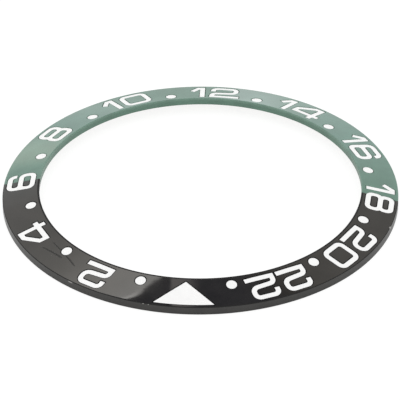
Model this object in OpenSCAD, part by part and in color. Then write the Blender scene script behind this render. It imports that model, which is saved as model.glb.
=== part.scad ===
// Bezel insert of a watch that shows a second time zone: a thin glossy ceramic ring, half
// black and half green, that slopes down from its opening to its rim. The numerals, dots and
// triangle are white fills that lie in engraved pockets.
// Millimetres. The origin is on the ring's axis, in the plane of the seat under the rim.
// Z points up out of the marked face and Y points at the triangle, which marks hour 24.
// Hours run clockwise from there, seen from above, and each takes 15 degrees.

/* [Ring] */
// Diameter over the outer wall
outer_d = 38.0; // [35.0:0.1:42.0]
// Width of the ring, from the opening to the outer wall, seen from above
ring_w = 3.55; // [3.2:0.05:3.9]
// Height of the outer wall, from the seat to the edge of the face
outer_wall_h = 0.80; // [0.7:0.05:1.1]
// Height of the inner wall
inner_wall_h = 0.74; // [0.64:0.02:0.9]
// Rise of the face from its outer edge to its inner edge
face_rise = 0.88; // [0.7:0.02:1.2]
// Width of the flat seat under the rim
seat_w = 0.40; // [0.2:0.05:0.8]
// Radius of the rounded edge between the face and the outer wall
rim_edge_r = 0.10; // [0.04:0.01:0.16]
// Radius of the rounded edge between the face and the inner wall
opening_edge_r = 0.08; // [0.04:0.01:0.14]
// Radius of the two rounded edges of the underside
under_edge_r = 0.05; // [0.02:0.01:0.08]

/* [Markings] */
// Bare face between the inner edge and the feet of the markings
foot_margin = 0.48; // [0.4:0.02:0.7]
// Bare face between the heads of the markings and the outer edge
head_margin = 0.35; // [0.25:0.02:0.5]
// Width of the strokes of the numerals
pen_w = 0.48; // [0.4:0.01:0.52]
// Width of the numerals 0 and 8
round_w = 2.76; // [2.6:0.02:2.9]
// Width of the numeral 1 with the bare face to its right
one_w = 1.64; // [1.5:0.02:1.8]
// Width of the numeral 2
two_w = 2.90; // [2.7:0.02:3.0]
// Width of the numeral 4
four_w = 2.96; // [2.8:0.02:3.1]
// Width of the numeral 6
six_w = 2.72; // [2.6:0.02:2.9]
// Gap between the two numerals of an hour
digit_gap = 0.36; // [0.2:0.02:0.5]
// How far the two numerals of an hour lean apart: 0 is upright, 1 is square to the rim
digit_lean = 0.6; // [0:0.1:1]
// Width of the triangle across its two outer corners
triangle_w = 5.7; // [4.6:0.1:6.2]
// Diameter of the dots of the odd hours
dot_d = 1.0; // [0.8:0.02:1.3]

/* [Engraving] */
// Depth of the pockets under the face
pocket_depth = 0.25; // [0.15:0.01:0.35]
// How far the fills stay under the face
fill_drop = 0.03; // [0.01:0.01:0.1]
// Side clearance between a fill and its pocket
fill_gap = 0.01; // [0:0.005:0.02]

/* [Adhesive] */
// Thickness of the adhesive ring on the underside
adhesive_t = 0.10; // [0.05:0.01:0.14]
// Bare underside inside and outside the adhesive ring
adhesive_margin = 0.60; // [0.55:0.05:1.0]

/* [Hidden] */
hour_turn = 360 / 24;
hours = 360 / hour_turn;
half_day = hours / 2;
day_start = half_day / 2;
night_start = day_start + half_day;
numeral_hours = [2:2:hours - 2];
dot_hours = [1:2:hours - 1];

black_ceramic = [0.06, 0.06, 0.07];
green_ceramic = [0.16, 0.34, 0.26];
white_fill = [0.96, 0.96, 0.95];
adhesive_film = [0.86, 0.80, 0.62];

outer_r = outer_d / 2;
inner_r = outer_r - ring_w;
face_top = outer_wall_h + face_rise;
under_rise = face_top - inner_wall_h;
seat_r = outer_r - seat_w;
foot_r = inner_r + foot_margin;
head_r = outer_r - head_margin;
digit_h = head_r - foot_r;
digit_mid_r = (foot_r + head_r) / 2;
dot_r = foot_r + dot_d / 2;
above_face = face_top + 1;
corner_step = 15;

// Height of the face and of the underside at radius r, without the rounded edges
function face_z(r) = outer_wall_h + face_rise * (outer_r - r) / (outer_r - inner_r);
function under_z(r) = under_rise * (seat_r - r) / (seat_r - inner_r);

// Outlines
function unit(v) = v / norm(v);
function left_of(v) = [-v.y, v.x];
function turned(v, a) = [v.x * cos(a) - v.y * sin(a), v.x * sin(a) + v.y * cos(a)];
function reversed(list) = [for (i = [len(list) - 1:-1:0]) list[i]];
function before(list, i) = list[(i + len(list) - 1) % len(list)];
function after(list, i) = list[(i + 1) % len(list)];

// The points of the corner p on the way from a to b, rounded with radius q
function corner(a, p, b, q) =
    let (
        d = unit(p - a),
        e = unit(b - p),
        turn = atan2(cross(d, e), d * e),
        spoke = left_of(d) * q * sign(turn),
        centre = p - d * q * tan(abs(turn) / 2) + spoke,
        steps = ceil(abs(turn) / corner_step)
    )
    q <= 0 ? [p] : [for (k = [0:steps]) centre + turned(-spoke, turn * k / steps)];

// The corner p on the way from a to b, when both of its lines move to the left by s
function beside(a, p, b, s) =
    let (m = left_of(unit(p - a)), n = left_of(unit(b - p)))
    p + s * (m + n) / (1 + m * n);

// A closed outline, drawn anticlockwise, with its lines moved inwards by s
function inset(points, s) =
    [for (i = [0:len(points) - 1]) beside(before(points, i), points[i], after(points, i), s)];

// A closed outline with each corner rounded by its own radius in q
function rounded(points, q) =
    [for (i = [0:len(points) - 1]) each corner(before(points, i), points[i], after(points, i), q[i])];

// The radii of a closed outline's corners after it has grown
function grown_radii(points, q, grow) = [
    for (i = [0:len(points) - 1])
        let (p = points[i], side = sign(cross(p - before(points, i), after(points, i) - p)))
        q[i] > 0 ? max(q[i] + side * grow, 0) : 0
];

module outline(points, q, grow) {
    polygon(rounded(inset(points, -grow), grown_radii(points, q, grow)));
}

function box(low, high) = [low, [high.x, low.y], high, [low.x, high.y]];
function same_radii(points, q) = [for (p = points) q];
function shortest_side(points) =
    min([for (i = [0:len(points) - 1]) norm(points[i] - before(points, i))]);

// The radius q of a counter's corners, as far as its shortest side has room for two of them
function counter_radius(points, q) = min(q, corner_share * shortest_side(points));

// A closed stroke of the pen inside a closed outline with corners of radius q
module loop(points, q, grow) {
    counter = inset(points, pen_w);
    counter_q = counter_radius(counter, max(q - pen_w, inner_q));
    difference() {
        outline(points, same_radii(points, q), grow);
        outline(counter, same_radii(counter, counter_q), -grow);
    }
}

// One edge of a stroke along an open path. s is the edge's distance to the left, and q holds
// the outer radius of each bend.
function stroke_edge(path, q, s, w) =
    let (
        n = len(path) - 1,
        line = [
            path[0] + s * left_of(unit(path[1] - path[0])),
            for (i = [1:n - 1]) beside(path[i - 1], path[i], path[i + 1], s),
            path[n] + s * left_of(unit(path[n] - path[n - 1]))
        ]
    )
    [
        line[0],
        for (i = [1:n - 1])
            let (side = sign(cross(path[i] - path[i - 1], path[i + 1] - path[i])))
            each corner(line[i - 1], line[i], line[i + 1], q[i - 1] - w / 2 - s * side),
        line[n]
    ];

// An open stroke of the pen. path is its middle line, and grow widens and lengthens it.
module stroke(path, q, grow) {
    n = len(path) - 1;
    w = pen_w + 2 * grow;
    grown_q = [for (r = q) r + grow];
    grown_path = [
        path[0] - grow * unit(path[1] - path[0]),
        for (i = [1:n - 1]) path[i],
        path[n] + grow * unit(path[n] - path[n - 1])
    ];
    polygon(concat(
        stroke_edge(grown_path, grown_q, w / 2, w),
        reversed(stroke_edge(grown_path, grown_q, -w / 2, w))
    ));
}

// The numerals stand on y = 0, centred on x = 0
bowl_q = 0.70;
waist_q = 0.65;
sharp_q = 0.05;
inner_q = 0.24;
corner_share = 0.45;
pen_c = pen_w / 2;
top_y = digit_h - pen_c;
waist_y = 0.52 * digit_h;

module zero(grow) {
    loop(box([-round_w / 2, 0], [round_w / 2, digit_h]), bowl_q, grow);
}

module one(grow) {
    bearing = 0.20;
    flat = 0.38;
    flag = [0.62, 0.85];
    x = one_w / 2 - bearing - pen_c;
    stroke(
        [[x - flat, top_y] - flag, [x - flat, top_y], [x, top_y], [x, 0]],
        [2 * sharp_q, sharp_q],
        grow
    );
}

module two(grow) {
    bowl_in = 0.17;
    hook_y = 0.63 * digit_h;
    bend_y = 0.47 * digit_h;
    slope = 0.20;
    x = two_w / 2 - pen_c;
    stroke(
        [
            [-x, hook_y],
            [-x, top_y],
            [x - bowl_in, top_y],
            [x - bowl_in, bend_y],
            [-x, bend_y - slope],
            [-x, pen_c],
            [x + pen_c, pen_c]
        ],
        [bowl_q, bowl_q, bowl_q + 0.1, bowl_q, sharp_q],
        grow
    );
}

module four(grow) {
    stem_in = 0.45;
    flat = 1.0;
    bar_y = 0.18 * digit_h;
    shoulder_y = 0.56 * digit_h;
    left = -four_w / 2;
    right = four_w / 2 - stem_in;
    difference() {
        outline(
            [
                [right - pen_w, 0],
                [right, 0],
                [right, bar_y],
                [four_w / 2, bar_y],
                [four_w / 2, bar_y + pen_w],
                [right, bar_y + pen_w],
                [right, digit_h],
                [right - flat, digit_h],
                [left, shoulder_y],
                [left, bar_y],
                [right - pen_w, bar_y]
            ],
            [0, 0, 0, 0, 0, 0, sharp_q, 2 * sharp_q, 2 * sharp_q, sharp_q, 0],
            grow
        );
        outline(
            inset(
                [
                    [left, bar_y],
                    [right, bar_y],
                    [right, digit_h],
                    [right - flat, digit_h],
                    [left, shoulder_y]
                ],
                pen_w
            ),
            [0, 0, 0, 0, 0],
            -grow
        );
    }
}

module six(grow) {
    hook_in = 0.10;
    hook_y = 0.69 * digit_h;
    left = -six_w / 2;
    right = six_w / 2;
    gap_y = waist_y + pen_c;
    arm_y = digit_h - pen_w;
    arm_q = min(inner_q, corner_share * (arm_y - gap_y));
    counter = box([left + pen_w, pen_w], [right - pen_w, gap_y - pen_w]);
    difference() {
        outline(
            [
                [left, 0],
                [right, 0],
                [right, gap_y],
                [left + pen_w, gap_y],
                [left + pen_w, arm_y],
                [right - hook_in - pen_w, arm_y],
                [right - hook_in - pen_w, hook_y],
                [right - hook_in, hook_y],
                [right - hook_in, digit_h],
                [left, digit_h]
            ],
            [waist_q, waist_q, waist_q, arm_q, arm_q, arm_q, 0, 0, bowl_q, bowl_q],
            grow
        );
        outline(counter, same_radii(counter, counter_radius(counter, inner_q)), -grow);
    }
}

module eight(grow) {
    top_in = 0.07;
    loop(box([-round_w / 2, 0], [round_w / 2, waist_y + pen_c]), waist_q, grow);
    loop(box([top_in - round_w / 2, waist_y - pen_c], [round_w / 2 - top_in, digit_h]), waist_q, grow);
}

module digit(d, grow) {
    if (d == 0) zero(grow);
    if (d == 1) one(grow);
    if (d == 2) two(grow);
    if (d == 4) four(grow);
    if (d == 6) six(grow);
    if (d == 8) eight(grow);
}

// The numerals of an hour, from left to right, and the widths that they take
function digits_of(h) = h < 10 ? [h] : [floor(h / 10), h % 10];
function width_of(d) = d == 1 ? one_w : d == 2 ? two_w : d == 4 ? four_w : d == 6 ? six_w : round_w;
function numeral_name(h, k) = str("numeral_", h, h < 10 ? "" : k == 0 ? "_tens" : "_units");

// Angle from the middle of an hour to its numeral k, along the arc at half the numerals' height
function digit_turn(h, k) =
    let (
        w = [for (d = digits_of(h)) width_of(d)],
        way = len(w) == 1 ? 0 : k == 0 ? -w[1] - digit_gap : w[0] + digit_gap
    )
    way / 2 / digit_mid_r * 180 / PI;

module at_hour(h) {
    rotate(-h * hour_turn) children();
}

module numeral_outline(h, k, grow = 0) {
    turn = digit_turn(h, k);
    at_hour(h)
        rotate(-turn)
            translate([0, digit_mid_r])
                rotate(turn * (1 - digit_lean))
                    translate([0, -digit_h / 2]) digit(digits_of(h)[k], grow);
}

module dot_outline(h, grow = 0) {
    at_hour(h) translate([0, dot_r]) circle(d = dot_d + 2 * grow, $fn = 32);
}

module triangle_outline(grow = 0) {
    corner_y = sqrt(head_r * head_r - triangle_w * triangle_w / 4);
    half_angle = atan2(triangle_w / 2, corner_y - foot_r);
    tip_y = foot_r - grow / sin(half_angle);
    side_x = (outer_r - tip_y) * tan(half_angle);
    intersection() {
        circle(r = head_r + grow, $fn = 180);
        polygon([[0, tip_y], [side_x, outer_r], [-side_x, outer_r]]);
    }
}

// The part of a mark's prism that lies between two depths under the face
module face_layer(deep, shallow) {
    intersection() {
        linear_extrude(height = above_face) children();
        rotate_extrude($fn = 180)
            polygon([
                [inner_r, face_z(inner_r) - deep],
                [outer_r, face_z(outer_r) - deep],
                [outer_r, face_z(outer_r) - shallow],
                [inner_r, face_z(inner_r) - shallow]
            ]);
    }
}

module fill() {
    color(white_fill) face_layer(pocket_depth, fill_drop) children();
}

// Half of the ceramic ring, clockwise from first_hour, with the pockets of its marks
module ring_half(first_hour) {
    section = [
        [inner_r, under_rise],
        [seat_r, 0],
        [outer_r, 0],
        [outer_r, outer_wall_h],
        [inner_r, face_top]
    ];
    difference() {
        rotate(90 - (first_hour + half_day) * hour_turn)
            rotate_extrude(angle = 180, $fn = 180)
                polygon(rounded(section, [under_edge_r, 0, under_edge_r, rim_edge_r, opening_edge_r]));
        for (k = [0:half_day]) face_layer(pocket_depth, -1) mark_outlines((first_hour + k) % hours);
    }
}

module mark_outlines(h) {
    if (h == 0) triangle_outline(fill_gap);
    else if (h % 2 == 1) dot_outline(h, fill_gap);
    else for (k = [0:len(digits_of(h)) - 1]) numeral_outline(h, k, fill_gap);
}

module night_half() {
    color(black_ceramic) ring_half(night_start);
}

module day_half() {
    color(green_ceramic) ring_half(day_start);
}

module adhesive_ring() {
    low_r = inner_r + adhesive_margin;
    high_r = seat_r - adhesive_margin;
    color(adhesive_film)
        rotate_extrude($fn = 180)
            polygon([
                [low_r, under_z(low_r) - adhesive_t],
                [high_r, under_z(high_r) - adhesive_t],
                [high_r, under_z(high_r)],
                [low_r, under_z(low_r)]
            ]);
}

day_half();
night_half();
adhesive_ring();
fill() triangle_outline();  // triangle_24
for (h = numeral_hours)
    for (k = [0:len(digits_of(h)) - 1])
        fill() numeral_outline(h, k);
for (h = dot_hours)
    fill() dot_outline(h);
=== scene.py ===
import math

import bmesh
import bpy
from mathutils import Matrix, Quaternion, Vector


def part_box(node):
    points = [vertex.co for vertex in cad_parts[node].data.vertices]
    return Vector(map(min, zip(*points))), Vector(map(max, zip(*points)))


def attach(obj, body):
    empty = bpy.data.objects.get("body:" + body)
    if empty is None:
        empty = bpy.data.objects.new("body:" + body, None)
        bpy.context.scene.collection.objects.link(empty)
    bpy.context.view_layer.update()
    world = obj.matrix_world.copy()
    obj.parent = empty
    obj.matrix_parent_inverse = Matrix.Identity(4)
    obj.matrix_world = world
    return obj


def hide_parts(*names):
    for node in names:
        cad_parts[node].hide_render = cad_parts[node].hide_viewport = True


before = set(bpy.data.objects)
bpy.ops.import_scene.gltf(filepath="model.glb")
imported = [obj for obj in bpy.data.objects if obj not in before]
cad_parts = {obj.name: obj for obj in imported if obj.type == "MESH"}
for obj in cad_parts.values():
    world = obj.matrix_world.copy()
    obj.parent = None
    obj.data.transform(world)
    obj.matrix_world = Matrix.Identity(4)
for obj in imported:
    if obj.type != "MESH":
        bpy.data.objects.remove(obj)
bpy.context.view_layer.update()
print("frame loaded:", len(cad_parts), "nodes")

mm = 0.001
weldGap = 0.0001 * mm  # points closer than this become one
hourTurn = math.radians(15)  # a day of 24 hours goes once round the ring

# Camera, a long lens that looks down on the ring from the triangle's side. Angles are in
# degrees, the target and its distance in millimetres.
cameraView = {
    "azimuth": 185.03,
    "elevation": 34.04,
    "roll": -0.38,
    "lens": 394.8,
    "sensorWidth": 36,
    "distance": 421.6,
    "target": (0.040, 0.036, 0.0),
    "clipping": (0.01, 10),  # near and far, in metres
}


def makeCamera(v):
    data = bpy.data.cameras.new("camera")
    data.lens = v["lens"]
    data.sensor_width = v["sensorWidth"]
    data.clip_start, data.clip_end = v["clipping"]
    camera = bpy.data.objects.new("camera", data)
    bpy.context.scene.collection.objects.link(camera)
    a, e = math.radians(v["azimuth"]), math.radians(v["elevation"])
    back = Vector((math.sin(a) * math.cos(e), -math.cos(a) * math.cos(e), math.sin(e)))
    camera.location = (Vector(v["target"]) + back * v["distance"]) * mm
    camera.rotation_mode = "QUATERNION"
    roll = Quaternion((0, 0, 1), math.radians(v["roll"]))
    camera.rotation_quaternion = (-back).to_track_quat("-Z", "Y") @ roll
    bpy.context.scene.camera = camera


makeCamera(cameraView)
bpy.context.scene.view_settings.view_transform = "Standard"
print("camera ready")


# Adds a shader node, linking the inputs that are sockets and setting the others
def addNode(tree, kind, inputs=None, **settings):
    node = tree.nodes.new("ShaderNode" + kind)
    for key, value in settings.items():
        setattr(node, key, value)
    for key, value in (inputs or {}).items():
        if isinstance(value, bpy.types.NodeSocket):
            tree.links.new(value, node.inputs[key])
        else:
            node.inputs[key].default_value = value
    return node


def linkInputs(tree, inputs, values):
    for key, value in values.items():
        tree.links.new(value, inputs[key])


def calc(tree, operation, *values):
    return addNode(tree, "Math", dict(enumerate(values)), operation=operation).outputs[0]


def vectorCalc(tree, operation, *values, output="Vector"):
    node = addNode(tree, "VectorMath", dict(enumerate(values)), operation=operation)
    return node.outputs[output]


# A point or a colour times one value
def scaled(tree, vector, factor):
    return addNode(tree, "VectorMath", {0: vector, "Scale": factor}, operation="SCALE").outputs["Vector"]


# How far a value has gone from its start, counted in steps of a size
def stepsFrom(tree, start, value, size):
    return calc(tree, "DIVIDE", calc(tree, "SUBTRACT", value, start), size)


# 0 at low and 1 at high, with a soft start and end; low may be the larger one
def softStep(tree, value, low, high):
    inputs = {"Value": value, "From Min": low, "From Max": high}
    node = addNode(tree, "MapRange", inputs, interpolation_type="SMOOTHSTEP")
    return node.outputs["Result"]


def opaque(rgb):
    return (*rgb, 1)


plainWhite = opaque((1, 1, 1))


def mixColor(tree, factor, a, b, blend="MIX"):
    node = addNode(tree, "Mix", {"Factor": factor, "A": a, "B": b}, data_type="RGBA", blend_type=blend)
    return node.outputs["Result"]


def mixValue(tree, factor, a, b):
    return addNode(tree, "Mix", {"Factor": factor, "A": a, "B": b}).outputs["Result"]


# A plain value that drifts between two shares of itself
def varied(tree, factor, value, shares):
    return mixValue(tree, factor, value * shares[0], value * shares[1])


def colorRamp(tree, factor, stops):
    node = addNode(tree, "ValToRGB", {"Fac": factor})
    elements = node.color_ramp.elements
    elements.remove(elements[1])
    for i, (place, rgb) in enumerate(stops):
        element = elements[0] if i == 0 else elements.new(place)
        element.position = place
        element.color = opaque(rgb)
    return node.outputs["Color"]


# Studio, seen only in reflections: a pale room with a dark ceiling, and soft lights in it.
# Azimuths and elevations are in degrees; azimuth 0 lies beyond the ring, as the camera looks.
studio = {
    "facing": cameraView["azimuth"],
    # elevation and colour, from the horizon to straight overhead
    "room": [
        (0.0, (0.95, 0.97, 0.95)),
        (5.5, (0.93, 0.98, 0.96)),
        (8.0, (1.34, 1.40, 1.40)),
        (11.0, (1.20, 1.26, 1.28)),
        (16.0, (1.12, 1.20, 1.22)),
        (27.0, (1.00, 1.02, 1.00)),
        (33.0, (0.70, 0.68, 0.64)),
        (48.0, (0.78, 0.75, 0.70)),
        (56.0, (0.74, 0.70, 0.65)),
        (58.5, (0.33, 0.31, 0.29)),
        (62.0, (0.20, 0.205, 0.245)),
        (90.0, (0.12, 0.12, 0.12)),
    ],
    # each light has the softness of its two sides and of its two ends; rise is the power
    # with which it grows from the lower end to the upper, and 0 keeps it even
    "lights": {
        "tallPanel": {
            "azimuths": (-75.0, -10.4), "elevations": (42.0, 60.7), "softSides": (20.0, 0.5),
            "softEnds": (1.0, 0.18), "color": (2.45, 2.40, 2.28), "rise": 1.5,
        },
        "panelTrim": {
            "azimuths": (-60.0, -15.8), "elevations": (60.25, 60.7), "softSides": (20.0, 1.2),
            "softEnds": (0.25, 0.12), "color": (1.50, 1.47, 1.42), "rise": 0.0,
        },
        "sideWall": {
            "azimuths": (-75.0, -12.0), "elevations": (30.0, 47.0), "softSides": (20.0, 5.0),
            "softEnds": (4.0, 4.0), "color": (0.26, 0.26, 0.26), "rise": 0.0,
        },
        "lowWindow": {
            "azimuths": (-60.0, -11.0), "elevations": (15.0, 21.5), "softSides": (15.0, 3.0),
            "softEnds": (3.0, 2.0), "color": (0.66, 0.62, 0.48), "rise": 0.0,
        },
        "farWindow": {
            "azimuths": (2.0, 5.6), "elevations": (2.0, 9.0), "softSides": (0.5, 1.6),
            "softEnds": (1.5, 2.5), "color": (0.50, 0.48, 0.52), "rise": 0.0,
        },
        "warmLamp": {
            "azimuths": (-8.2, -3.0), "elevations": (59.0, 66.0), "softSides": (0.5, 3.0),
            "softEnds": (2.0, 2.0), "color": (1.00, 0.92, 0.86), "rise": 0.0,
        },
        "backPanel": {
            "azimuths": (110.0, 170.0), "elevations": (38.0, 58.0), "softSides": (6.0, 6.0),
            "softEnds": (6.0, 1.0), "color": (1.10, 1.10, 1.08), "rise": 1.0,
        },
    },
}


# 1 between a light's two edges and 0 outside them, each edge with its own softness
def between(tree, value, edges, soft):
    opened = softStep(tree, value, edges[0] - soft[0], edges[0] + soft[0])
    closed = softStep(tree, value, edges[1] + soft[1], edges[1] - soft[1])
    return calc(tree, "MULTIPLY", opened, closed)


def addLight(tree, room, azimuth, elevation, v):
    share = calc(
        tree, "MULTIPLY", between(tree, azimuth, v["azimuths"], v["softSides"]),
        between(tree, elevation, v["elevations"], v["softEnds"]),
    )
    if v["rise"]:
        low, high = v["elevations"]
        climb = addNode(tree, "MapRange", {"Value": elevation, "From Min": low, "From Max": high})
        share = calc(tree, "MULTIPLY", share, calc(tree, "POWER", climb.outputs["Result"], v["rise"]))
    return mixColor(tree, share, room, opaque(v["color"]), blend="ADD")


def makeWorld(v):
    world = bpy.data.worlds.new("studio")
    bpy.context.scene.world = world
    world.use_nodes = True
    tree = world.node_tree
    tree.nodes.clear()
    facing = math.radians(v["facing"])
    away = (-math.sin(facing), math.cos(facing), 0)
    right = (math.cos(facing), math.sin(facing), 0)
    direction = addNode(tree, "TexCoord").outputs["Generated"]
    height = addNode(tree, "SeparateXYZ", {0: direction}).outputs["Z"]
    elevation = calc(tree, "DEGREES", calc(tree, "ARCSINE", height))
    sideways = vectorCalc(tree, "DOT_PRODUCT", direction, right, output="Value")
    forward = vectorCalc(tree, "DOT_PRODUCT", direction, away, output="Value")
    azimuth = calc(tree, "DEGREES", calc(tree, "ARCTAN2", sideways, forward))
    overhead = v["room"][-1][0]
    stops = [(e / overhead, rgb) for e, rgb in v["room"]]
    room = colorRamp(tree, calc(tree, "DIVIDE", elevation, overhead), stops)
    for light in v["lights"].values():
        room = addLight(tree, room, azimuth, elevation, light)
    glossy = addNode(tree, "LightPath").outputs["Is Glossy Ray"]
    seen = mixColor(tree, glossy, plainWhite, room)
    background = addNode(tree, "Background", {"Color": seen})
    addNode(tree, "OutputWorld", {"Surface": background.outputs[0]})


makeWorld(studio)

# Floor, white to the camera, with a share of its real shadow left in each kind of ray
floorLook = {
    "width": 1.0,  # in metres
    "under": 0.02,  # gap below the ring, in millimetres
    "color": (0.88, 0.88, 0.87),
    "white": 1.14,  # strength of the glow that makes it white
    "shadowSeen": 0.25,
    "shadowReflected": 0.75,
}


def makeFloor(v):
    bpy.ops.mesh.primitive_plane_add(size=v["width"], location=(0, 0, -v["under"] * mm))
    floor = bpy.context.object
    floor.name = "floor"
    material = bpy.data.materials.new("paper")
    material.use_nodes = True
    tree = material.node_tree
    tree.nodes.clear()
    paper = addNode(tree, "BsdfDiffuse", {"Color": opaque(v["color"])})
    glow = addNode(tree, "Emission", {"Color": plainWhite, "Strength": v["white"]})
    path = addNode(tree, "LightPath").outputs
    seen = calc(tree, "MULTIPLY", path["Is Camera Ray"], 1 - v["shadowSeen"])
    reflected = calc(tree, "MAXIMUM", path["Is Glossy Ray"], path["Is Transmission Ray"])
    reflected = calc(tree, "MULTIPLY", reflected, 1 - v["shadowReflected"])
    share = calc(tree, "ADD", seen, reflected)
    both = addNode(tree, "MixShader", {0: share, 1: paper.outputs[0], 2: glow.outputs[0]})
    addNode(tree, "OutputMaterial", {"Surface": both.outputs[0]})
    floor.data.materials.append(material)


makeFloor(floorLook)
print("studio ready")

# Ceramic ring. Sizes in millimetres, heights from the seat under the rim, and corners where
# they lie before they are rounded
ring = {
    "outerRadius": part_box("day_half")[0].y / -mm,
    "innerRadius": min(p.co.xy.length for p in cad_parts["day_half"].data.vertices) / mm,
    "rimHeight": 0.80,
    "faceTop": 1.68,
    "wallHeight": 0.74,
    "seatWidth": 0.40,
    "crown": 0.0063,  # rise of the polished face over a straight slope, at its middle
    "crownPowers": (2.3, 4),  # of its inner and outer half; the higher, the later it falls off
    "rimRound": 0.06,
    "openingRound": 0.105,
    "openingUnderRound": 0.07,
    "seatRound": 0.03,
    "roundSteps": 5,
    "faceCuts": 13,
    "sideCuts": 4,
    "turnSteps": 360,
    "shortestSide": 0.25,  # what is shorter in the section belongs to a rounding
}
faceSlope = (ring["faceTop"] - ring["rimHeight"]) / (ring["outerRadius"] - ring["innerRadius"])


def newVerts(result, key):
    return [x for x in result[key] if isinstance(x, bmesh.types.BMVert)]


def newEdges(result, key):
    return [x for x in result[key] if isinstance(x, bmesh.types.BMEdge)]


# Cuts a straight side of the section, closer together near its ends, and bows it by crown
def cutSide(bm, edge, cuts, crown=0, powers=(1, 1)):
    start, end = sorted((vert.co.copy() for vert in edge.verts), key=lambda co: co.x)
    along = end - start
    square = Vector((-along.z, 0, along.x)).normalized()
    cut = bmesh.ops.subdivide_edges(bm, edges=[edge], cuts=cuts)
    middle = newVerts(cut, "geom_inner")
    middle.sort(key=lambda vert: (vert.co - start).length)
    for i, vert in enumerate(middle):
        t = 0.5 - 0.5 * math.cos(math.pi * (i + 1) / (len(middle) + 1))
        power = powers[1] if t > 0.5 else powers[0]
        bow = crown * (1 - abs(2 * t - 1) ** power)
        vert.co = start + along * t + square * bow * mm


# The polished face is the longest of the sides that stay clear of the seat
def findFace(sides):
    raised = [edge for edge in sides if min(vert.co.z for vert in edge.verts) > 0]
    return max(raised, key=lambda edge: edge.calc_length())


# Draws the ring's section at hour 6 and spins it half a turn, through the night or the day
def spinHalf(name, v, way):
    corners = {
        "openingUnder": (v["innerRadius"], v["faceTop"] - v["wallHeight"]),
        "seatInner": (v["outerRadius"] - v["seatWidth"], 0),
        "seatOuter": (v["outerRadius"], 0),
        "rim": (v["outerRadius"], v["rimHeight"]),
        "openingTop": (v["innerRadius"], v["faceTop"]),
    }
    rounds = {
        "openingUnder": v["openingUnderRound"],
        "seatOuter": v["seatRound"],
        "rim": v["rimRound"],
        "openingTop": v["openingRound"],
    }
    bm = bmesh.new()
    verts = {key: bm.verts.new((r * mm, 0, z * mm)) for key, (r, z) in corners.items()}
    bm.faces.new(verts.values())
    for key, radius in rounds.items():
        bmesh.ops.bevel(
            bm, geom=[verts[key]], offset=radius * mm, offset_type="OFFSET", affect="VERTICES",
            segments=v["roundSteps"], profile=0.5, material=-1,
        )
    sides = [edge for edge in bm.edges if edge.calc_length() > v["shortestSide"] * mm]
    faceSide = findFace(sides)
    for edge in sides:
        if edge is faceSide:
            cutSide(bm, edge, v["faceCuts"], v["crown"], v["crownPowers"])
        else:
            cutSide(bm, edge, v["sideCuts"])
    bmesh.ops.spin(
        bm, geom=bm.verts[:] + bm.edges[:] + bm.faces[:], cent=(0, 0, 0), axis=(0, 0, 1),
        angle=way * math.pi, steps=v["turnSteps"], use_merge=False, use_duplicate=False,
    )
    bmesh.ops.remove_doubles(bm, verts=bm.verts[:], dist=weldGap)
    bmesh.ops.recalc_face_normals(bm, faces=bm.faces[:])
    mesh = bpy.data.meshes.new(name)
    bm.to_mesh(mesh)
    bm.free()
    piece = bpy.data.objects.new(name, mesh)
    bpy.context.scene.collection.objects.link(piece)
    return piece


# Pockets of the marks, cut a little wider than the fills, with a chamfered edge
pocket = {
    "groove": 0.08,
    "chamferWidth": 0.01,
    "chamferDepth": 0.03,
    "overcut": 2.0,  # the chamfer's cutter goes on past the face by this factor
    "flatAngle": 0.002,  # radians; triangles that meet flatter than this become one face
    "topUpward": 0.5,  # the upward share of the normal is over this on a fill's top
    "sideUpward": 0.02,  # and under this on its upright sides
    "sameWay": 0.9999,  # cosine over which two sides count as one
}
markNodes = [
    node for name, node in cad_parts.items()
    if name not in ("day_half", "night_half", "adhesive_ring")
]


# Moves points outwards, square to the upright faces beside them, and down the face's slope
def growOutline(verts, distance, v):
    moves = {}
    for vert in verts:
        sides = []
        for face in vert.link_faces:
            n = face.normal
            if abs(n.z) < v["sideUpward"] and all(n.dot(m) < v["sameWay"] for m in sides):
                sides.append(Vector((n.x, n.y, 0)).normalized())
        if sides:
            first, last = sides[0], sides[-1]
            moves[vert] = (first + last) * (distance / (1 + first.dot(last)))
    for vert, move in moves.items():
        radius = vert.co.xy.length
        vert.co += move
        vert.co.z -= (vert.co.xy.length - radius) * faceSlope


def directionsOf(edges):
    return {e: e.verts[1].co - e.verts[0].co for e in edges}


# Closes the short edges that growing has turned round
def closeTurned(bm, before):
    turned = [e for e, way in before.items() if (e.verts[1].co - e.verts[0].co).dot(way) <= 0]
    bmesh.ops.collapse(bm, edges=turned)


# Adds a fill grown by the groove's width, its top drawn up and out for the chamfer
def addPocketCutter(bm, node, v):
    part = bmesh.new()
    part.from_mesh(node.data)
    bmesh.ops.remove_doubles(part, verts=part.verts[:], dist=weldGap)
    bmesh.ops.dissolve_limit(
        part, angle_limit=v["flatAngle"], verts=part.verts[:], edges=part.edges[:]
    )
    part.normal_update()
    before = directionsOf(part.edges)
    growOutline(part.verts[:], v["groove"] * mm, v)
    closeTurned(part, before)
    part.normal_update()
    tops = [face for face in part.faces if face.normal.z > v["topUpward"]]
    raised = bmesh.ops.extrude_face_region(part, geom=tops)
    rise = Vector((0, 0, v["chamferDepth"] * v["overcut"] * mm))
    bmesh.ops.translate(part, verts=newVerts(raised, "geom"), vec=rise)
    bmesh.ops.delete(part, geom=[face for face in tops if face.is_valid], context="FACES")
    part.normal_update()
    before = directionsOf(newEdges(raised, "geom"))
    growOutline(newVerts(raised, "geom"), v["chamferWidth"] * v["overcut"] * mm, v)
    closeTurned(part, before)
    bmesh.ops.recalc_face_normals(part, faces=part.faces[:])
    mesh = bpy.data.meshes.new("pocket")
    part.to_mesh(mesh)
    part.free()
    bm.from_mesh(mesh)
    bpy.data.meshes.remove(mesh)


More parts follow.
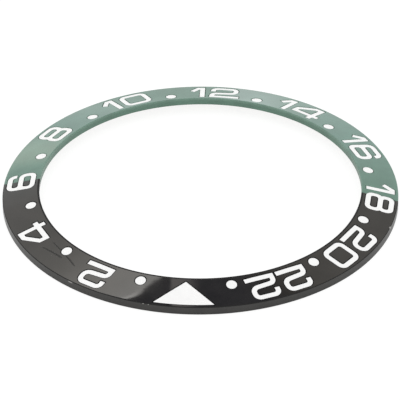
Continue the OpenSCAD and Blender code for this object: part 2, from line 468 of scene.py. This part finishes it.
# Cleaning of a cut half, with lengths in millimetres and the angle in degrees
cleaning = {"weldGap": 0.0005, "sliver": 0.00001, "sharpAngle": 25}


# Welds what the cut left open by a hair, and shades round edges smooth and corners sharp
def cleanCut(piece, v):
    bm = bmesh.new()
    bm.from_mesh(piece.data)
    bmesh.ops.remove_doubles(bm, verts=bm.verts[:], dist=v["weldGap"] * mm)
    bmesh.ops.dissolve_degenerate(bm, edges=bm.edges[:], dist=v["sliver"] * mm)
    for face in bm.faces:
        face.smooth = True
    for edge in bm.edges:
        edge.smooth = edge.calc_face_angle() < math.radians(v["sharpAngle"])
    bm.to_mesh(piece.data)
    openEdges = sum(not edge.is_manifold for edge in bm.edges)
    print(piece.name + ":", len(bm.faces), "faces,", openEdges, "open edges")
    bm.free()


def cutPockets(pieces, nodes, v):
    bm = bmesh.new()
    for node in nodes:
        addPocketCutter(bm, node, v)
    mesh = bpy.data.meshes.new("pockets")
    bm.to_mesh(mesh)
    bm.free()
    cutter = bpy.data.objects.new("pockets", mesh)
    bpy.context.scene.collection.objects.link(cutter)
    for piece in pieces:
        cut = piece.modifiers.new("pockets", "BOOLEAN")
        cut.operation = "DIFFERENCE"
        cut.solver = "EXACT"
        cut.object = cutter
        graph = bpy.context.evaluated_depsgraph_get()
        whole = piece.data
        piece.data = bpy.data.meshes.new_from_object(piece.evaluated_get(graph))
        piece.modifiers.clear()
        bpy.data.meshes.remove(whole)
        cleanCut(piece, cleaning)
    bpy.data.objects.remove(cutter)


dayHalf = spinHalf("dayHalf", ring, -1)
nightHalf = spinHalf("nightHalf", ring, 1)
cutPockets([dayHalf, nightHalf], markNodes, pocket)


# Shared effects, as node groups. Inputs come with their start values, a tuple for a vector,
# and vectors names the outputs that are vectors.
def newGroup(name, inputs, outputs, vectors=()):
    tree = bpy.data.node_groups.new(name, "ShaderNodeTree")
    kinds = {True: "NodeSocketVector", False: "NodeSocketFloat"}
    for key, start in inputs.items():
        kind = kinds[isinstance(start, tuple)]
        socket = tree.interface.new_socket(name=key, in_out="INPUT", socket_type=kind)
        socket.default_value = start
    for key in outputs:
        tree.interface.new_socket(name=key, in_out="OUTPUT", socket_type=kinds[key in vectors])
    return tree, tree.nodes.new("NodeGroupInput").outputs, tree.nodes.new("NodeGroupOutput").inputs


def placeGroup(tree, group, inputs=None):
    return addNode(tree, "Group", inputs, node_tree=group).outputs


# How much of the surface's normal points up, from -1 to 1
def upward(tree):
    normal = addNode(tree, "NewGeometry").outputs["Normal"]
    return addNode(tree, "SeparateXYZ", {0: normal}).outputs["Z"]


def noise(tree, point, size, detail):
    scale = calc(tree, "DIVIDE", 1.0, size)
    return addNode(tree, "TexNoise", {"Vector": point, "Scale": scale, "Detail": detail}).outputs["Fac"]


# Place on the ring in millimetres: the point, the point unrolled along the rim, the radius,
# the way past the line between the halves, into the night, and the height. The hour runs
# from -12 to 12, with 0 at the triangle.
def makeRingPlace():
    tree, _, result = newGroup(
        "ringPlace", {}, ("Point", "Around", "Radius", "Across", "Height", "Hour"), ("Point", "Around")
    )
    point = scaled(tree, addNode(tree, "TexCoord").outputs["Object"], 1 / mm)
    split = addNode(tree, "SeparateXYZ", {0: point}).outputs
    radius = vectorCalc(tree, "LENGTH", vectorCalc(tree, "MULTIPLY", point, (1, 1, 0)), output="Value")
    turn = calc(tree, "ARCTAN2", split["X"], split["Y"])
    arc = calc(tree, "MULTIPLY", turn, ring["outerRadius"])
    linkInputs(tree, result, {
        "Point": point,
        "Around": addNode(tree, "CombineXYZ", {0: radius, 1: arc, 2: split["Z"]}).outputs[0],
        "Radius": radius,
        "Across": split["Y"],
        "Height": split["Z"],
        "Hour": calc(tree, "DIVIDE", turn, hourTurn),
    })
    return tree


# Where each zone starts and where it is full. Distances are in millimetres, and upward is
# the share of the surface's normal that points up.
zoneLimits = {
    "fromOpening": (0.25, 0.30),
    "fromRim": (0.20, 0.25),
    "pocketUpward": (0.955, 0.93),
    "pocketDepth": (0.01, 0.03),
    "aboveUnderside": (-0.2, -0.1),  # keeps the pockets' finish off the underside
    "wallUpward": (0.35, 0.1),
    "edgeWidths": (1.1, 0.9),  # counted in widths of the painted edge shading
    "edgeUpward": (0.1, 0.3),
}


# Masks of the ground walls and underside, of the engraved pockets and of the face's two edges; on the
# pockets and the edges the halves' colour is painted shade and painted light
def makeSurfaceZones(v):
    tree, given, result = newGroup(
        "surfaceZones", {"Radius": 17.0, "Height": 1.0, "Inner Edge": 0.1, "Outer Edge": 0.1},
        ("Ground", "Recess Shading", "Edge Shading"),
    )
    up = upward(tree)
    fromOpening = calc(tree, "SUBTRACT", given["Radius"], ring["innerRadius"])
    fromRim = calc(tree, "SUBTRACT", ring["outerRadius"], given["Radius"])
    marked = calc(
        tree, "MULTIPLY", softStep(tree, fromOpening, *v["fromOpening"]),
        softStep(tree, fromRim, *v["fromRim"]),
    )
    fall = calc(tree, "MULTIPLY", fromOpening, faceSlope)
    faceHeight = calc(tree, "SUBTRACT", ring["faceTop"], fall)
    depth = calc(tree, "SUBTRACT", faceHeight, given["Height"])
    sunk = calc(
        tree, "MAXIMUM", softStep(tree, up, *v["pocketUpward"]),
        softStep(tree, depth, *v["pocketDepth"]),
    )
    sunk = calc(tree, "MULTIPLY", sunk, softStep(tree, up, *v["aboveUnderside"]))
    recessShading = calc(tree, "MULTIPLY", marked, sunk)
    ground = calc(tree, "SUBTRACT", softStep(tree, up, *v["wallUpward"]), recessShading)
    inner = calc(tree, "DIVIDE", fromOpening, given["Inner Edge"])
    outer = calc(tree, "DIVIDE", fromRim, given["Outer Edge"])
    edgeShadingBand = calc(
        tree, "MAXIMUM", softStep(tree, inner, *v["edgeWidths"]),
        softStep(tree, outer, *v["edgeWidths"]),
    )
    linkInputs(tree, result, {
        "Ground": calc(tree, "MAXIMUM", ground, 0.0),
        "Recess Shading": recessShading,
        "Edge Shading": calc(tree, "MULTIPLY", edgeShadingBand, softStep(tree, up, *v["edgeUpward"])),
    })
    return tree


# Fine lines that run round the ring, as a grinding wheel leaves them
grinding = {"alongLine": 0.03, "detail": 2.0}


def makeGrindLines(v):
    tree, given, result = newGroup(
        "grindLines", {"Around": (0, 0, 0), "Spacing": 0.05}, ("Height",)
    )
    stretched = vectorCalc(tree, "MULTIPLY", given["Around"], (1, v["alongLine"], 1))
    height = noise(tree, stretched, given["Spacing"], v["detail"])
    linkInputs(tree, result, {"Height": height})
    return tree


# Slow, cloudy change over the surface, from 0 to 1
clouding = {"detail": 3.0, "range": (0.3, 0.7)}


def makeMottle(v):
    tree, given, result = newGroup("mottle", {"Point": (0, 0, 0), "Size": 1.0}, ("Amount",))
    cloud = noise(tree, given["Point"], given["Size"], v["detail"])
    linkInputs(tree, result, {"Amount": softStep(tree, cloud, *v["range"])})
    return tree


# Sparse grains of dust. Share says how many of the places hold a grain
dustGrain = {"outline": (1.0, 0.6)}  # a grain's edge, from clear to full, in shares of its size


def makeDust(v):
    tree, given, result = newGroup(
        "dust", {"Point": (0, 0, 0), "Spacing": 0.5, "Size": 0.03, "Share": 0.2}, ("Amount",)
    )
    scale = calc(tree, "DIVIDE", 1.0, given["Spacing"])
    cells = addNode(tree, "TexVoronoi", {"Vector": given["Point"], "Scale": scale}).outputs
    reach = calc(tree, "DIVIDE", given["Size"], given["Spacing"])
    chance = addNode(tree, "SeparateColor", {0: cells["Color"]}).outputs
    grain = softStep(tree, calc(tree, "DIVIDE", cells["Distance"], reach), *v["outline"])
    kept = calc(tree, "LESS_THAN", chance["Red"], given["Share"])
    amount = calc(tree, "MULTIPLY", calc(tree, "MULTIPLY", grain, kept), chance["Green"])
    linkInputs(tree, result, {"Amount": amount})
    return tree


# A faint wiped streak on the face, which bends at one hour and radius. Bend is in millimetres
# for each hour squared.
streakShape = {"fadingHours": 0.15}


def makeStreak(v):
    tree, given, result = newGroup("streak", {
        "Hour": 0.0, "Radius": 17.0, "Bend Hour": 3.0, "Bend Radius": 17.0, "Bend": 1.0,
        "Start": 2.5, "End": 3.5, "Half Width": 0.1,
    }, ("Amount",))
    away = calc(tree, "SUBTRACT", given["Hour"], given["Bend Hour"])
    rise = calc(tree, "MULTIPLY", calc(tree, "MULTIPLY", away, away), given["Bend"])
    line = calc(tree, "ADD", given["Bend Radius"], rise)
    side = stepsFrom(tree, line, given["Radius"], given["Half Width"])
    ridge = softStep(tree, calc(tree, "ABSOLUTE", side), 1.0, 0.0)
    started = stepsFrom(tree, given["Start"], given["Hour"], v["fadingHours"])
    ended = stepsFrom(tree, given["Hour"], given["End"], v["fadingHours"])
    ends = softStep(tree, calc(tree, "MINIMUM", started, ended), 0.0, 1.0)
    linkInputs(tree, result, {"Amount": calc(tree, "MULTIPLY", ridge, ends)})
    return tree


# A painted glint: a small pale spot on the rim's wall at one hour and height
paintedGlintShape = {
    "outline": (0.45, 0.20),  # its edge, from clear to full, in squared shares of its size
    "depth": 0.1,  # how far in from the rim it goes
}


def makePaintedGlint(v):
    tree, given, result = newGroup("paintedGlint", {
        "Hour": 0.0, "Height": 0.0, "Radius": 17.0, "At Hour": 2.0, "At Height": 0.5,
        "Hours Wide": 0.03, "Tall": 0.04,
    }, ("Amount",))
    aside = stepsFrom(tree, given["At Hour"], given["Hour"], given["Hours Wide"])
    above = stepsFrom(tree, given["At Height"], given["Height"], given["Tall"])
    apart = calc(tree, "ADD", calc(tree, "MULTIPLY", aside, aside), calc(tree, "MULTIPLY", above, above))
    glintSpot = softStep(tree, apart, *v["outline"])
    onWall = calc(tree, "GREATER_THAN", given["Radius"], ring["outerRadius"] - v["depth"])
    linkInputs(tree, result, {"Amount": calc(tree, "MULTIPLY", glintSpot, onWall)})
    return tree


ringPlace = makeRingPlace()
surfaceZones = makeSurfaceZones(zoneLimits)
grindLines = makeGrindLines(grinding)
mottle = makeMottle(clouding)
dust = makeDust(dustGrain)
streak = makeStreak(streakShape)
paintedGlint = makePaintedGlint(paintedGlintShape)
print("shared effects ready")


def clouds(tree, point, size):
    return placeGroup(tree, mottle, {"Point": point, "Size": size})["Amount"]


def specks(tree, point, values):
    return placeGroup(tree, dust, {"Point": point, **values})["Amount"]


def newMaterial(name, ior):
    material = bpy.data.materials.new(name)
    material.use_nodes = True
    tree = material.node_tree
    tree.nodes.clear()
    shader = addNode(tree, "BsdfPrincipled", {"IOR": ior})
    addNode(tree, "OutputMaterial", {"Surface": shader.outputs[0]})
    return material, tree, shader


# Feeds a material's shader, with the heights of its relief in millimetres
def dressShader(tree, shader, color, roughness, height):
    bump = addNode(tree, "Bump", {"Height": height, "Distance": mm, "Strength": 1.0})
    linkInputs(tree, shader.inputs, {
        "Base Color": color, "Roughness": roughness, "Normal": bump.outputs["Normal"],
    })


# Ceramic of the two halves, polished on the face and ground elsewhere
blackCeramic = {
    "polished": (0.0125, 0.0115, 0.0105),
    "ground": (0.016, 0.015, 0.0135),
    # painted light on the top of the opening's wall; on this half the same as the ground
    "paintedWallLight": (0.016, 0.015, 0.0135),
    # painted shade: a dark line along the face's edges
    "edge": (0.002, 0.002, 0.002),
    "innerEdge": 0.20,  # width of the painted edge shading beside the opening
    # painted shade: the pockets' walls darkened as if in shadow
    "recessShading": (0.002, 0.002, 0.002),
    "groundRoughness": 0.26,
    "edgeRoughness": 0.85,
    "colorShares": (0.75, 1.25),  # how far the colour drifts
}
greenCeramic = {
    "polished": (0.095, 0.200, 0.150),
    "ground": (0.092, 0.188, 0.138),
    # painted light: the top of the opening's wall, lighter than the ground below it
    "paintedWallLight": (0.130, 0.240, 0.180),
    # painted highlight: a pale line along the face's edges
    "edge": (0.140, 0.250, 0.195),
    "innerEdge": 0.12,
    # painted light: the pockets' walls lightened against their own shadow
    "recessShading": (0.26, 0.40, 0.33),
    "groundRoughness": 0.30,
    "edgeRoughness": 0.5,
    "colorShares": (0.92, 1.08),
}
# What both halves have in common
ceramicFinish = {
    "ior": 1.62,
    "gloss": 0.035,  # roughness of the polished face
    "glossShares": (0.8, 1.3),
    "recessRoughness": 0.95,
    "outerEdge": 0.06,  # width of the painted edge shading beside the rim
    "paintedWallLightHeights": (1.35, 1.62),  # painted light: the opening's wall grows lighter towards its top
    "joinWidth": 0.05,  # how far each colour runs into the other
    "joinShare": 0.5,  # share of the other colour at the join itself
    "cloudSize": 1.6,
    "dust": {"Spacing": 0.42, "Size": 0.022, "Share": 0.16},
    "dustColor": (0.42, 0.41, 0.39),
    "dustRoughness": 0.6,
    "rippleSize": 2.2,
    "rippleHeight": 0.0006,
    "lineSpacing": 0.05,
    "lineHeight": 0.0012,
    "streakHeight": 0.003,
    "streakRoughness": 0.72,
    "streaks": [
        {"Bend Hour": 3.5, "Bend Radius": 16.60, "Bend": 0.80, "Start": 2.45, "End": 3.55,
         "Half Width": 0.16},
        {"Bend Hour": 2.9, "Bend Radius": 17.32, "Bend": 0.90, "Start": 2.85, "End": 3.60,
         "Half Width": 0.20},
    ],
    # painted glints: small pale spots on the rim's wall
    "paintedGlintColor": (0.35, 0.34, 0.33),
    "paintedGlints": [
        {"At Hour": 2.33, "At Height": 0.67, "Hours Wide": 0.10, "Tall": 0.09},
        {"At Hour": 0.76, "At Height": 0.75, "Hours Wide": 0.025, "Tall": 0.06},
        {"At Hour": 0.66, "At Height": 0.74, "Hours Wide": 0.020, "Tall": 0.05},
        {"At Hour": -5.09, "At Height": 0.75, "Hours Wide": 0.07, "Tall": 0.13},
    ],
}


# The place, the zones and the patterns that a half's colour, roughness and relief all read
def readCeramic(tree, v, common):
    place = placeGroup(tree, ringPlace)
    radius = place["Radius"]
    height = place["Height"]
    hour = place["Hour"]
    edges = {"Inner Edge": v["innerEdge"], "Outer Edge": common["outerEdge"]}
    lines = {"Around": place["Around"], "Spacing": common["lineSpacing"]}
    return {
        "place": place,
        "zones": placeGroup(tree, surfaceZones, {"Radius": radius, "Height": height, **edges}),
        "cloud": clouds(tree, place["Point"], common["cloudSize"]),
        "ripple": clouds(tree, place["Point"], common["rippleSize"]),
        "grains": specks(tree, place["Point"], common["dust"]),
        "lines": placeGroup(tree, grindLines, lines)["Height"],
        "streaks": [
            placeGroup(tree, streak, {"Hour": hour, "Radius": radius, **row})["Amount"]
            for row in common["streaks"]
        ],
        "paintedGlints": [
            placeGroup(tree, paintedGlint, {"Hour": hour, "Height": height, "Radius": radius, **row})["Amount"]
            for row in common["paintedGlints"]
        ],
    }


def ceramicColor(tree, surface, v, other, common):
    place, zones = surface["place"], surface["zones"]
    fromJoin = calc(tree, "ABSOLUTE", place["Across"])
    nearJoin = softStep(tree, fromJoin, common["joinWidth"], 0.0)
    joined = calc(tree, "MULTIPLY", nearJoin, common["joinShare"])
    polished = mixColor(tree, joined, opaque(v["polished"]), opaque(other["polished"]))
    ground = mixColor(tree, joined, opaque(v["ground"]), opaque(other["ground"]))
    # painted light: the opening's wall turns lighter towards its top
    paintedWallLight = softStep(tree, place["Height"], *common["paintedWallLightHeights"])
    ground = mixColor(tree, paintedWallLight, ground, opaque(v["paintedWallLight"]))
    color = mixColor(tree, zones["Ground"], polished, ground)
    # painted edge shading: a dark line on the black half, a pale highlight line on the green
    color = mixColor(tree, zones["Edge Shading"], color, opaque(v["edge"]))
    # painted shade in the pockets of the black half, painted light in those of the green half
    color = mixColor(tree, zones["Recess Shading"], color, opaque(v["recessShading"]))
    color = scaled(tree, color, mixValue(tree, surface["cloud"], *v["colorShares"]))
    color = mixColor(tree, surface["grains"], color, opaque(common["dustColor"]))
    # painted glints on the rim's wall
    for glintSpot in surface["paintedGlints"]:
        color = mixColor(tree, glintSpot, color, opaque(common["paintedGlintColor"]))
    return color


def ceramicRoughness(tree, surface, v, common):
    zones = surface["zones"]
    rough = varied(tree, surface["cloud"], common["gloss"], common["glossShares"])
    rough = mixValue(tree, zones["Ground"], rough, v["groundRoughness"])
    rough = mixValue(tree, zones["Edge Shading"], rough, v["edgeRoughness"])
    rough = mixValue(tree, zones["Recess Shading"], rough, common["recessRoughness"])
    rough = mixValue(tree, surface["grains"], rough, common["dustRoughness"])
    for ridge in surface["streaks"]:
        rough = mixValue(tree, ridge, rough, common["streakRoughness"])
    return rough


# Slow ripples on the polished face, fine lines on the ground walls, and the raised streaks
def ceramicRelief(tree, surface, common):
    ripple = calc(tree, "MULTIPLY", surface["ripple"], common["rippleHeight"])
    lines = calc(tree, "MULTIPLY", surface["lines"], common["lineHeight"])
    height = mixValue(tree, surface["zones"]["Ground"], ripple, lines)
    for ridge in surface["streaks"]:
        height = calc(tree, "ADD", height, calc(tree, "MULTIPLY", ridge, common["streakHeight"]))
    return height


def ceramic(name, v, other, common):
    material, tree, shader = newMaterial(name, common["ior"])
    surface = readCeramic(tree, v, common)
    dressShader(
        tree, shader, ceramicColor(tree, surface, v, other, common),
        ceramicRoughness(tree, surface, v, common), ceramicRelief(tree, surface, common),
    )
    return material


# White fill of the marks, slightly grained, with painted shade on its upright sides
whiteFill = {
    "color": (0.965, 0.965, 0.96),
    # painted shade on the fill's upright edge, deep in the groove of the black half and of the green one
    "nightSideShade": (0.03, 0.03, 0.03),
    "daySideShade": (0.22, 0.32, 0.27),
    "topUpward": (0.4, 0.8),  # from the fill's side to its top
    "ior": 1.5,
    "roughness": 0.42,
    "roughnessShares": (0.85, 1.15),
    "cloudSize": 0.8,
    "cloudShares": (0.985, 1.01),
    "grainSize": 0.05,
    "grainHeight": 0.0008,
}


def fillMaterial(v):
    material, tree, shader = newMaterial("whiteFill", v["ior"])
    place = placeGroup(tree, ringPlace)
    cloud = clouds(tree, place["Point"], v["cloudSize"])
    grain = clouds(tree, place["Point"], v["grainSize"])
    top = scaled(tree, v["color"], mixValue(tree, cloud, *v["cloudShares"]))
    inNight = calc(tree, "GREATER_THAN", place["Across"], 0.0)
    # painted shade: the fill's upright sides are dark, tinted like the half round them
    side = mixColor(tree, inNight, opaque(v["daySideShade"]), opaque(v["nightSideShade"]))
    dressShader(
        tree, shader, mixColor(tree, softStep(tree, upward(tree), *v["topUpward"]), side, top),
        varied(tree, grain, v["roughness"], v["roughnessShares"]),
        calc(tree, "MULTIPLY", grain, v["grainHeight"]),
    )
    return material


# Adhesive film under the ring, dull and cloudy, with pores
adhesiveFilm = {
    "clear": (0.66, 0.60, 0.46),
    "cloudy": (0.76, 0.72, 0.60),
    "ior": 1.48,
    "roughness": 0.5,
    "roughnessShares": (0.8, 1.2),
    "cloudSize": 0.9,
    "cloudHeight": 0.004,
    "pores": {"Spacing": 0.3, "Size": 0.05, "Share": 0.3},
}


def filmMaterial(v):
    material, tree, shader = newMaterial("adhesiveFilm", v["ior"])
    point = placeGroup(tree, ringPlace)["Point"]
    cloud = clouds(tree, point, v["cloudSize"])
    pores = specks(tree, point, v["pores"])
    color = mixColor(tree, cloud, opaque(v["clear"]), opaque(v["cloudy"]))
    dressShader(
        tree, shader, mixColor(tree, pores, color, opaque(v["cloudy"])),
        varied(tree, cloud, v["roughness"], v["roughnessShares"]),
        calc(tree, "MULTIPLY", cloud, v["cloudHeight"]),
    )
    return material


black = ceramic("blackCeramic", blackCeramic, greenCeramic, ceramicFinish)
green = ceramic("greenCeramic", greenCeramic, blackCeramic, ceramicFinish)
white = fillMaterial(whiteFill)
film = filmMaterial(adhesiveFilm)
print("materials ready")

for piece, node, slot, material in (
    (dayHalf, "day_half", "green_ceramic", green),
    (nightHalf, "night_half", "black_ceramic", black),
):
    piece.data.materials.clear()
    piece.data.materials.append(material)
    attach(piece, "root")
    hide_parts(node)
for node in markNodes:
    node.material_slots[0].material = white
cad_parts["adhesive_ring"].material_slots[0].material = film
print("finishes placed")
